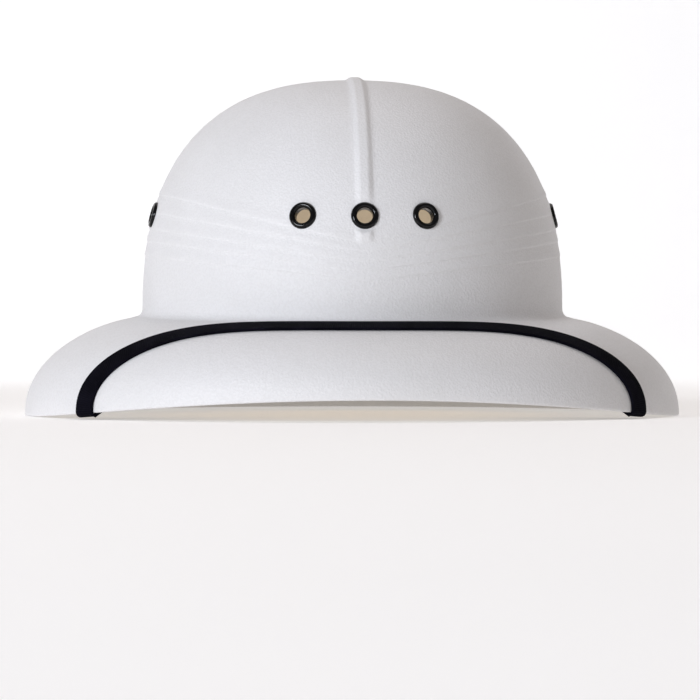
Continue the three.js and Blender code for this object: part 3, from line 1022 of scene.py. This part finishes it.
def shell_inside_rings(helmet, turn):
    """Rings of the inside, from the rim to the top of the crown."""
    crown = helmet.crown
    rings = []
    for bend in np.linspace(RIGHT_ANGLE, 0.0, RIM_ROWS)[:-1]:
        inset = crown.wall - helmet.brim.rim_width * (1.0 - math.cos(bend))
        rings.append(rim_ring(helmet, turn, inset, bend))
    for sweep in np.linspace(RIGHT_ANGLE, BRIM_START, UNDERSIDE_ROWS):
        rings.append(brim_points(helmet, turn, sweep) - crown.wall * brim_normals(helmet, turn, sweep))
    bends = np.linspace(RIGHT_ANGLE, 0.0, FILLET_ROWS)
    rings += [fillet_points(crown, turn, bend, crown.wall) for bend in bends]
    for step in np.linspace(0.0, 1.0, LINING_ROWS, endpoint=False):
        rise = dome_rise(crown, 0.0, lerp(LINING_START, 1.0, eased(step)))
        rings.append(crown_points(crown, turn, rise) - crown.wall * crown_normals(crown, turn, rise))
    return press_seats(crown, np.array(rings), helmet.vents.roll_radius + SEAT_MARGIN, -crown.wall)


def shell_mesh(helmet):
    """The whole shell as one closed wall, its inside faces on the second material."""
    crown = helmet.crown
    turn = shell_turns()
    outside = shell_outside_rings(helmet, turn)
    inside = shell_inside_rings(helmet, turn)
    top = crown_points(crown, 0.0, crown.height)
    up = crown_normals(crown, 0.0, crown.height)
    caps = (top + crown.ridge_height * up, top - crown.wall * up)
    mesh = mesh_of("helmet_shell", skin(np.concatenate([outside, inside]), False, caps))
    columns = len(turn)
    faces = np.arange(len(mesh.polygons))
    quads = (len(outside) + len(inside) - 1) * columns
    inner = (faces >= len(outside) * columns) & (faces < quads) | (faces >= quads + columns)
    mesh.polygons.foreach_set("material_index", inner.astype(np.int32))
    return mesh


def vent_matrix(crown, vent):
    """Stands a piece that is turned round +Z out of the crown at a vent."""
    seat, normal = vent_seat(crown, vent)
    standing = Vector((0.0, 0.0, 1.0)).rotation_difference(Vector(normal)).to_matrix().to_4x4()
    return Matrix.Translation(Vector(seat)) @ standing


def vent_cutter(helmet):
    """Round plugs through the wall, one at each vent."""
    radius = helmet.vents.barrel_radius + helmet.vents.clearance
    reach = CUTTER_REACH * helmet.crown.wall
    rings = turned(((radius, -reach), (radius, reach)), HOLE_SIDES)
    plug = skin(rings, False, ((0.0, 0.0, -reach), (0.0, 0.0, reach)))
    plugs = []
    for vent in VENTS:
        matrix = vent_matrix(helmet.crown, vent)
        plugs.append(plug._replace(points=np.array([matrix @ Vector(point) for point in plug.points])))
    return add_object("vent_cutter", mesh_of("vent_cutter", joined(plugs)))


def weld_seams(mesh):
    """Closes the tiny edges that a cut leaves."""
    work = bmesh.new()
    work.from_mesh(mesh)
    bmesh.ops.dissolve_degenerate(work, dist=SEAM_WELD, edges=work.edges)
    work.to_mesh(mesh)
    work.free()


def cut(piece, cutter):
    """Takes the cutter out of a piece and removes it."""
    modifier = piece.modifiers.new("Vent holes", "BOOLEAN")
    modifier.operation = "DIFFERENCE"
    modifier.solver = "EXACT"
    modifier.object = cutter
    whole = piece.data
    graph = bpy.context.evaluated_depsgraph_get()
    opened = bpy.data.meshes.new_from_object(piece.evaluated_get(graph))
    weld_seams(opened)
    piece.modifiers.clear()
    piece.data = opened
    bpy.data.meshes.remove(whole)
    bpy.data.meshes.remove(cutter.data)
    opened.name = piece.name


class PITH_HELMET_OT_shell(bpy.types.Operator):
    """Builds the pressed shell of crown and brim with its ridge, pleats and vent holes"""

    bl_idname = "pith_helmet.build_shell"
    bl_label = "Build Shell"

    def execute(self, context):
        helmet = context.scene.pith_helmet
        shell = add_object("helmet_shell", shell_mesh(helmet))
        materials = (
            shell_outside_material(helmet.finish),
            shell_inside_material(helmet.finish, helmet.crown),
        )
        for material in materials:
            shell.data.materials.append(material)
        cut(shell, vent_cutter(helmet))
        if len(shell.data.materials) != len(materials):
            raise RuntimeError("the shell lost a material where its vents were cut")
        shell.data.set_sharp_from_angle(angle=SHARP_EDGE)
        dress(shell, (), "pressed_shell", "shell")
        return {"FINISHED"}


# Vents

VENT_SIDES = 64
DOME_STEPS = 14
ROLL_STEPS = 8
FLANGE_LIFT = 0.04 * MM


def lip(inner, outer, base, swell, bends):
    """A rounded lip between two radii, as radius and height, swelling up or down from its base."""
    middle, half = (outer + inner) / 2, (outer - inner) / 2
    return [(middle + half * math.cos(bend), base + swell * math.sin(bend)) for bend in bends]


def vent_outline(vents, wall):
    """The closed outline of an eyelet as radius and height, from the bore over the dome."""
    swell = vents.dome_height - FLANGE_LIFT
    bends = np.linspace(math.pi, 0.0, DOME_STEPS)
    dome = lip(vents.bore_radius, vents.flange_radius, FLANGE_LIFT, swell, bends)
    roll_top = -wall - FLANGE_LIFT
    bends = np.linspace(0.0, math.pi, ROLL_STEPS)
    roll = lip(vents.bore_radius, vents.roll_radius, roll_top, -vents.roll_thickness, bends)
    return [*dome, (vents.barrel_radius, FLANGE_LIFT), (vents.barrel_radius, roll_top), *roll]


def vent_mesh(name, vents, wall):
    """An eyelet turned round +Z."""
    mesh = mesh_of(name, skin(turned(vent_outline(vents, wall), VENT_SIDES), True))
    mesh.set_sharp_from_angle(angle=SHARP_EDGE)
    return mesh


class PITH_HELMET_OT_vents(bpy.types.Operator):
    """Builds the five black vent eyelets"""

    bl_idname = "pith_helmet.build_vents"
    bl_label = "Build Vents"

    def execute(self, context):
        helmet = context.scene.pith_helmet
        enamel = enamel_material(helmet.vents)
        for vent in VENTS:
            piece = add_object(vent.piece, vent_mesh(vent.piece, helmet.vents, helmet.crown.wall))
            piece.matrix_world = vent_matrix(helmet.crown, vent)
            dress(piece, (enamel,), "black_eyelet", vent.node)
        return {"FINISHED"}


# Chin strap

BRIM_STATIONS = 400
TURN_STATIONS = 40
STRAIGHT_STATIONS = 40
TAIL_STATIONS = 12
STATION_STEP = 0.225 * MM
TAPE_ARC_STEPS = 3
TAPE_FLAT_STEPS = 9
SELVEDGE_DEPTH = 0.06 * MM
SELVEDGE_POWER = 8
CONFORM_END = math.radians(40.0)
PLACE_DIGITS = 9


class Stretch(NamedTuple):
    """A stretch of the strap's middle line.

    Normals are the ways that the tape's face looks. Hug is 1 where the tape lies on the brim and 0 where
    it hangs free under it.
    """

    points: np.ndarray
    normals: np.ndarray
    hug: np.ndarray


def strap_lift(strap):
    """Height of the tape's middle over the brim."""
    return strap.gap + strap.thickness / 2


def stretch_over_brim(helmet):
    """From the front over the brim to the rim."""
    strap = helmet.strap
    share = eased(np.linspace(0.0, 1.0, BRIM_STATIONS))
    out = lerp(strap.start_out, 1.0, share**strap.outward_power)
    sweep = np.arcsin(np.minimum(out, 1.0) ** (1.0 / helmet.brim.round_over))
    normals = brim_normals(helmet, strap.cross * share, sweep)
    points = brim_points(helmet, strap.cross * share, sweep) + normals * strap_lift(strap)
    return Stretch(points, normals, np.ones(len(points)))


def stretch_round_rim(helmet, outward):
    """Round the rim, from the way that the tape looks on top of it."""
    strap, half_wall = helmet.strap, helmet.crown.wall / 2
    beside = rim_points(helmet.brim, strap.cross + NUDGE) - rim_points(helmet.brim, strap.cross - NUDGE)
    down = unit(np.cross(unit(beside), outward))
    bends = np.linspace(0.0, strap.under, TURN_STATIONS)[1:, None]
    normals = np.cos(bends) * outward + np.sin(bends) * down
    middle = brim_points(helmet, strap.cross, RIGHT_ANGLE) - outward * half_wall
    points = middle + normals * (half_wall + strap_lift(strap))
    return Stretch(points, normals, 1.0 - smooth(0.0, CONFORM_END, bends[:, 0]))


def stretch_inside(helmet):
    """Round the shoulder inside the crown and up behind the sweatband."""
    strap, crown = helmet.strap, helmet.crown
    depth = crown.wall + strap.tail_gap + strap.thickness / 2
    out, up = fillet_axes(crown, strap.anchor)
    bends = np.linspace(strap.shoulder, 0.0, TURN_STATIONS)
    points = np.array([fillet_points(crown, strap.anchor, bend, depth) for bend in bends])
    normals = -(np.cos(bends)[:, None] * out + np.sin(bends)[:, None] * up)
    tail = points[-1] + up * np.linspace(0.0, strap.tail, TAIL_STATIONS)[1:, None]
    points = np.vstack([points, tail])
    normals = np.vstack([normals, np.repeat(normals[-1:], len(tail), axis=0)])
    return Stretch(points, normals, np.zeros(len(points)))


def stretch_between(before, after):
    """Straight from the end of one stretch to the start of another."""
    way = np.linspace(0.0, 1.0, STRAIGHT_STATIONS)[1:-1, None]
    points = lerp(before.points[-1], after.points[0], way)
    normals = unit(lerp(before.normals[-1], after.normals[0], way))
    return Stretch(points, normals, np.zeros(len(points)))


def strap_half(helmet):
    """Half of the strap's middle line, from the front to its end."""
    over = stretch_over_brim(helmet)
    turn = stretch_round_rim(helmet, over.normals[-1])
    inside = stretch_inside(helmet)
    stretches = (over, turn, stretch_between(turn, inside), inside)
    return Stretch(*(np.concatenate(values) for values in zip(*stretches)))


def resampled(places, run, values):
    """Rows of values at other places along a line."""
    return np.stack([np.interp(places, run, column) for column in values.T], 1)


def strap_line(helmet):
    """The whole middle line at even steps: places along it, points, normals and hug."""
    half = strap_half(helmet)
    mirror = np.array((-1.0, 1.0, 1.0))
    points = np.vstack([half.points[:0:-1] * mirror, half.points])
    normals = np.vstack([half.normals[:0:-1] * mirror, half.normals])
    hug = np.concatenate([half.hug[:0:-1], half.hug])
    run = run_along(points)
    even = np.linspace(0.0, run[-1], int(run[-1] / STATION_STEP))
    return even, resampled(even, run, points), unit(resampled(even, run, normals)), np.interp(even, run, hug)


def laid_on_shell(shell, points, faces, hug, lift):
    """Brings points of the tape down to a lift over the shell where the tape hugs it."""
    tree = BVHTree.FromPolygons(
        [vertex.co for vertex in shell.data.vertices],
        [polygon.vertices for polygon in shell.data.polygons],
    )
    laid, laid_faces = points.copy(), faces.copy()
    for index in np.argwhere(np.broadcast_to(hug[:, None], points.shape[:2]) > 0.0):
        place = tuple(index)
        location, normal, _, _ = tree.find_nearest(Vector(points[place]))
        weight = hug[place[0]]
        laid[place] = lerp(points[place], np.array(location + normal * lift), weight)
        laid_faces[place] = lerp(faces[place], np.array(normal), weight)
    return laid, unit(laid_faces)


def strap_mesh(helmet, shell):
    """The tape with its cross ribs and selvedges, laid on the shell."""
    strap = helmet.strap
    run, points, normals, hug = strap_line(helmet)
    along = unit(np.gradient(points, axis=0))
    side = unit(np.cross(along, normals))
    face = np.cross(side, along)
    half_width, half_thickness = strap.width / 2, strap.thickness / 2
    section = rounded_section(
        half_width, half_thickness, strap.edge_radius, TAPE_ARC_STEPS, TAPE_FLAT_STEPS
    )
    across, levels = np.unique(section[:, 0].round(PLACE_DIGITS), return_inverse=True)
    rib = np.cos(2.0 * math.pi * run / strap.rib_pitch)
    selvedge = SELVEDGE_DEPTH * (np.abs(across) / half_width) ** SELVEDGE_POWER
    reach = across[None, :] + rib[:, None] * selvedge
    middles = points[:, None, :] + side[:, None, :] * reach[..., None]
    faces = np.repeat(face[:, None, :], len(across), axis=1)
    middles, faces = laid_on_shell(shell, middles, faces, hug, strap_lift(strap))
    inner = np.abs(section[:, 0]) < half_width - strap.edge_radius
    height = section[None, :, 1] + strap.rib_depth * rib[:, None] * inner * np.sign(section[:, 1])
    rings = middles[:, levels] + faces[:, levels] * height[..., None]
    girth = np.append(section[:, 0], section[0, 0])
    caps = (points[:1], points[-1:])
    return mesh_of("chin_strap_tape", skin(rings, False, caps, run, girth))


class PITH_HELMET_OT_strap(bpy.types.Operator):
    """Builds the chin strap, a woven tape laid over the front of the brim"""

    bl_idname = "pith_helmet.build_strap"
    bl_label = "Build Chin Strap"

    def execute(self, context):
        helmet = context.scene.pith_helmet
        shell = bpy.data.objects.get("helmet_shell")
        if shell is None:
            raise RuntimeError("the strap lies on the shell: build the shell first")
        strap = add_object("chin_strap_tape", strap_mesh(helmet, shell))
        dress(strap, (webbing_material(helmet.strap),), "strap_webbing", "chin_strap")
        return {"FINISHED"}


# Sweatband

BAND_COLUMNS = 360
BAND_FLAT_STEPS = 28
BAND_ARC_STEPS = 3
WAVE_COUNT = 11
WAVE_DEPTH = 0.22 * MM
SECOND_WAVE_SHARE = 0.6
SECOND_WAVE_SHIFT = 1.0
BAND_EDGE_ROUNDING = 0.8
STITCH_PITCH = 4.2 * MM
STITCH_LENGTH = 3.0 * MM
STITCH_RADIUS = 0.3 * MM
STITCH_INSET = 1.1 * MM
STITCH_SIDES = 8
STITCH_STEPS = 7


def band_points(helmet, turn, height, offset):
    """Points of the sweatband: height up from its lower edge, offset from its middle to the head."""
    band, crown = helmet.band, helmet.crown
    flare = np.clip((height / band.height - band.flare_from) / (1.0 - band.flare_from), 0.0, 1.0)
    seated = band.seat_gap + band.thickness / 2
    gap = lerp(band.wall_gap, seated, flare * flare * (2.0 - flare))
    low = band.front_lift * np.cos(turn) - band.side_drop
    return crown_points(crown, turn, low + height, crown.wall + gap + offset)


def band_run(helmet):
    """Places along the band, once round."""
    ring = band_points(helmet, full_turn(BAND_COLUMNS), np.zeros(BAND_COLUMNS), 0.0)
    return run_along(ring, closed=True)


def swept_band(helmet, name, section, wave_depth):
    """A section of heights and offsets taken round the head, with soft waves at mid height."""
    turn = full_turn(BAND_COLUMNS)[:, None]
    height, offset = section[None, :, 0], section[None, :, 1]
    middle = np.sin(math.pi * np.clip(height / helmet.band.height, 0.0, 1.0)) ** 2
    second_wave = SECOND_WAVE_SHARE * np.sin((2 * WAVE_COUNT + 1) * turn + SECOND_WAVE_SHIFT)
    waves = np.sin(WAVE_COUNT * turn) + second_wave
    rings = band_points(helmet, turn, height, offset + wave_depth * middle * waves)
    return mesh_of(name, skin(rings, True, None, band_run(helmet), run_along(section, closed=True)))


def sweatband_section(band):
    """Heights and offsets round the leathercloth, from the bottom of the binding's groove."""
    low = band.binding_height - band.overlap
    half_height = (band.height - low) / 2
    half_thickness = band.thickness / 2
    section = rounded_section(
        half_height, half_thickness, half_thickness * BAND_EDGE_ROUNDING, BAND_ARC_STEPS, BAND_FLAT_STEPS
    )
    return section + (low + half_height, 0.0)


def binding_section(band):
    """Heights and offsets round the folded tape, with the groove that takes the band."""
    half = band.binding_width / 2
    groove = band.thickness / 2 + band.clearance
    floor = band.binding_height - band.overlap - band.clearance
    corner = band.binding_corner
    bends = np.linspace(0.0, RIGHT_ANGLE, 2 * BAND_ARC_STEPS)
    lip_half = (half - groove) / 2
    lips = np.linspace(0.0, math.pi, 2 * BAND_ARC_STEPS)
    lip_top = band.binding_height - lip_half
    near = [(corner * (1.0 - math.sin(b)), -half + corner * (1.0 - math.cos(b))) for b in bends]
    far = [(height, -offset) for height, offset in reversed(near)]
    far_lip = [(lip_top + lip_half * math.sin(b), half - lip_half + lip_half * math.cos(b)) for b in lips]
    near_lip = [(height, -offset) for height, offset in reversed(far_lip)]
    return np.array([*near, *far, *far_lip, (floor, groove), (floor, -groove), *near_lip])


def stitch_mesh(helmet):
    """Stitches through the binding, on both of its faces, as one mesh."""
    band = helmet.band
    run = band_run(helmet)
    count = int(run[-1] / STITCH_PITCH)
    turns = np.append(full_turn(BAND_COLUMNS), 2.0 * math.pi)
    turn = np.interp((np.arange(count) + 0.5) * run[-1] / count, run, turns)
    height = np.full(count, band.binding_height - STITCH_INSET)
    bends = np.linspace(-RIGHT_ANGLE, RIGHT_ANGLE, STITCH_STEPS + 2)[1:-1]
    circle = full_turn(STITCH_SIDES)[:, None]
    stitches = []
    for side in (-1.0, 1.0):
        offset = side * (band.binding_width / 2)
        middles = band_points(helmet, turn, height, offset)
        alongs = unit(band_points(helmet, turn + NUDGE, height, offset) - middles)
        outs = unit(band_points(helmet, turn, height, offset + side * MM) - middles)
        for middle, along, out in zip(middles, alongs, outs):
            ring = np.cos(circle) * out + np.sin(circle) * np.cross(along, out)
            half = along * STITCH_LENGTH / 2
            rings = [
                middle + half * math.sin(bend) + ring * (STITCH_RADIUS * math.sqrt(math.cos(bend)))
                for bend in bends
            ]
            stitches.append(skin(rings, False, (middle - half, middle + half)))
    return mesh_of("binding_stitches", joined(stitches))


class PITH_HELMET_OT_sweatband(bpy.types.Operator):
    """Builds the sweatband with its bound and stitched lower edge"""

    bl_idname = "pith_helmet.build_sweatband"
    bl_label = "Build Sweatband"

    def execute(self, context):
        helmet = context.scene.pith_helmet
        band = helmet.band
        cloth = add_object(
            "sweatband_cloth", swept_band(helmet, "sweatband_cloth", sweatband_section(band), WAVE_DEPTH)
        )
        dress(cloth, (leathercloth_material(band),), "sweatband_leather", "sweatband")
        edge = add_object(
            "sweatband_binding", swept_band(helmet, "sweatband_binding", binding_section(band), 0.0)
        )
        dress(edge, (binding_material(band),), "edge_binding", "sweatband_edge")
        stitches = add_object("binding_stitches", stitch_mesh(helmet))
        dress(stitches, (thread_material(band),), "edge_binding")
        return {"FINISHED"}


# Stage

FLOOR_HALF_WIDTH = 16.0
FLOOR_FRONT = -16.0
FLOOR_BACK = 2.2
COVE_RADIUS = 1.2
WALL_TOP = 4.0
COVE_STEPS = 24
FLOOR_DROP = 0.05 * MM
SENSOR_WIDTH = 36.0
CLIP_START = 0.05
CLIP_END = 50.0
HELMET_MIDDLE = (0.0, 0.0, 0.08)
BACKDROP_FOOT = (0.0, 3.0, 0.3)


class Softbox(NamedTuple):
    """A square soft light that faces a target, with the names of the settings for its power and tint."""

    name: str
    place: tuple
    target: tuple
    size: float
    power: str
    tint: str
    spread_deg: float = 180.0


SOFTBOXES = (
    Softbox("key_light", (-1.89, -2.25, 0.72), HELMET_MIDDLE, 0.8, "key_power", "key_tint"),
    Softbox("top_light", (0.3, 0.5, 2.2), HELMET_MIDDLE, 1.6, "top_power", "sky_tint"),
    Softbox("backdrop_light", (0.0, 1.3, 2.1), BACKDROP_FOOT, 1.6, "backdrop_power", "key_tint", 110.0),
    Softbox("lining_lamp", (0.0, -0.02, 0.004), HELMET_MIDDLE, 0.12, "lamp_power", "sky_tint"),
)


def backdrop_mesh():
    """A sheet of paper that runs along the floor and curves up behind."""
    line = [(FLOOR_FRONT, -FLOOR_DROP)]
    for bend in np.linspace(0.0, RIGHT_ANGLE, COVE_STEPS):
        rise = COVE_RADIUS * (1.0 - math.cos(bend))
        line.append((FLOOR_BACK + COVE_RADIUS * math.sin(bend), rise - FLOOR_DROP))
    line.append((FLOOR_BACK + COVE_RADIUS, WALL_TOP))
    points = [(side * FLOOR_HALF_WIDTH, y, z) for y, z in line for side in (-1.0, 1.0)]
    faces = [(2 * k, 2 * k + 1, 2 * k + 3, 2 * k + 2) for k in range(len(line) - 1)]
    mesh = bpy.data.meshes.new("studio_paper")
    mesh.from_pydata(points, [], faces)
    smooth_faces(mesh)
    return mesh


def aim(thing, direction):
    """Turns a light or a camera to look along a direction."""
    thing.rotation_mode = "QUATERNION"
    thing.rotation_quaternion = direction.to_track_quat("-Z", "Y")


def add_softbox(stage, box):
    """Adds one softbox."""
    light = bpy.data.lights.new(box.name, "AREA")
    light.shape = "SQUARE"
    light.size = box.size
    light.energy = getattr(stage, box.power)
    light.color = getattr(stage, box.tint)
    light.spread = math.radians(box.spread_deg)
    softbox = add_object(box.name, light)
    softbox.location = box.place
    aim(softbox, Vector(box.target) - Vector(box.place))


def add_sky(scene, stage):
    """Adds the even light from all round."""
    world = bpy.data.worlds.new("studio")
    world.use_nodes = True
    sky = world.node_tree.nodes["Background"]
    sky.inputs["Color"].default_value = opaque(stage.sky_tint)
    sky.inputs["Strength"].default_value = stage.sky_strength
    scene.world = world


def add_camera(scene, stage):
    """Adds a level camera close over the floor, turned a little from the front."""
    lens = bpy.data.cameras.new("camera")
    lens.sensor_width = SENSOR_WIDTH
    lens.lens = stage.lens
    lens.clip_start = CLIP_START
    lens.clip_end = CLIP_END
    camera = add_object("camera", lens)
    away = Vector((math.sin(stage.camera_turn), -math.cos(stage.camera_turn), 0.0))
    camera.location = away * stage.camera_distance + Vector((0.0, 0.0, stage.camera_height))
    aim(camera, -away)
    scene.camera = camera


class PITH_HELMET_OT_stage(bpy.types.Operator):
    """Builds the pale floor, the soft light and the camera"""

    bl_idname = "pith_helmet.build_stage"
    bl_label = "Build Stage"

    def execute(self, context):
        scene = context.scene
        stage = scene.pith_helmet.stage
        floor = add_object("studio_paper", backdrop_mesh())
        floor.data.materials.append(floor_material(stage))
        for box in SOFTBOXES:
            add_softbox(stage, box)
        add_sky(scene, stage)
        scene.view_settings.view_transform = "Standard"
        add_camera(scene, stage)
        return {"FINISHED"}


# Panel and registration

class PITH_HELMET_PT_panel(bpy.types.Panel):
    """Lists the helmet's pieces and their settings"""

    bl_idname = "PITH_HELMET_PT_panel"
    bl_label = "Pith Helmet"
    bl_space_type = "VIEW_3D"
    bl_region_type = "UI"
    bl_category = "Pith Helmet"

    def draw(self, context):
        helmet = context.scene.pith_helmet
        for operator in OPERATORS:
            self.layout.operator(operator.bl_idname)
        for name in HelmetSettings.__annotations__:
            box = self.layout.box()
            box.label(text=name.title())
            settings = getattr(helmet, name)
            for key in type(settings).__annotations__:
                box.prop(settings, key)


SETTINGS = (
    CrownSettings,
    BrimSettings,
    ShellFinish,
    VentSettings,
    StrapSettings,
    BandSettings,
    StageSettings,
    HelmetSettings,
)
OPERATORS = (
    PITH_HELMET_OT_shell,
    PITH_HELMET_OT_vents,
    PITH_HELMET_OT_strap,
    PITH_HELMET_OT_sweatband,
    PITH_HELMET_OT_stage,
)
CLASSES = (*SETTINGS, *OPERATORS, PITH_HELMET_PT_panel)


def register():
    """Makes the settings, the operators and the panel known."""
    for cls in CLASSES:
        bpy.utils.register_class(cls)
    bpy.types.Scene.pith_helmet = PointerProperty(type=HelmetSettings)


def unregister():
    """Takes them away again."""
    del bpy.types.Scene.pith_helmet
    for cls in reversed(CLASSES):
        bpy.utils.unregister_class(cls)


def main():
    """Builds every piece and the stage."""
    register()
    bpy.ops.pith_helmet.build_shell()
    bpy.ops.pith_helmet.build_vents()
    bpy.ops.pith_helmet.build_strap()
    bpy.ops.pith_helmet.build_sweatband()
    bpy.ops.pith_helmet.build_stage()


if __name__ == "__main__":
    main()
